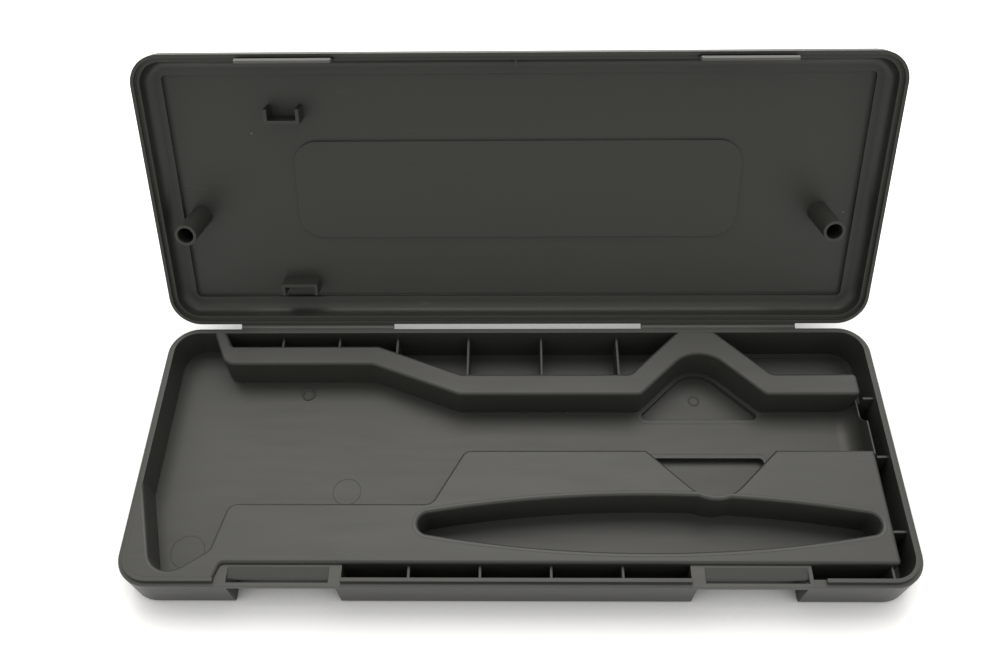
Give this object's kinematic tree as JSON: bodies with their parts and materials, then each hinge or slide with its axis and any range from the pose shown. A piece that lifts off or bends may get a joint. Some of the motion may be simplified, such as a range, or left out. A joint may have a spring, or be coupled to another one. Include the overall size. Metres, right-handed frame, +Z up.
{
  "type": "caliper case",
  "caption": "Shallow moulded case with a hinged lid, a fitted tray for a caliper with its head and beam, an oval pocket and snap latches.",
  "frame": {"origin": "centre of the base's underside, on the plane that the case stands on", "axes": "+X along the hinge line, to the right as seen from the latches; +Y from the latches to the hinge; +Z up"},
  "size_m": [0.245, 0.1459, 0.0989],
  "materials": {
    "moulding": "fine matte texture, black-grey polypropylene"
  },
  "bodies": {
    "base": {"base_shell": "moulding", "front_wall": "moulding", "left_catch_bar": "moulding", "right_catch_bar": "moulding", "beam_rail": "moulding", "deck": "moulding", "oval_pocket": "moulding", "pocket_floor": "moulding", "rear_finger_well": "moulding", "front_finger_well": "moulding", "channel_end_wall": "moulding", "rear_cell_ribs": "moulding", "front_cell_ribs": "moulding", "end_cell_ribs": "moulding", "left_hinge_film": "moulding", "right_hinge_film": "moulding"},
    "lid": {"lid_shell": "moulding", "left_post": "moulding", "right_post": "moulding", "front_clip": "moulding", "rear_clip": "moulding"},
    "left_latch": {"left_latch": "moulding"},
    "right_latch": {"right_latch": "moulding"}
  },
  "joints": [
    {"name": "lid_hinge", "type": "hinge", "parent": "base", "child": "lid", "pos_m": [0, 0.048, 0.015], "axis": [-1, 0, 0], "range_deg": [-118.4, 60], "deforming": ["left_hinge_film", "right_hinge_film"]},
    {"name": "left_latch_flex", "type": "hinge", "parent": "lid", "child": "left_latch", "pos_m": [0, 0.09441, 0.09586], "axis": [1, 0, 0], "range_deg": [0, 8], "stiffness_Nm_per_rad": 0.2},
    {"name": "right_latch_flex", "type": "hinge", "parent": "lid", "child": "right_latch", "pos_m": [0, 0.09441, 0.09586], "axis": [1, 0, 0], "range_deg": [0, 8], "stiffness_Nm_per_rad": 0.2}
  ]
}
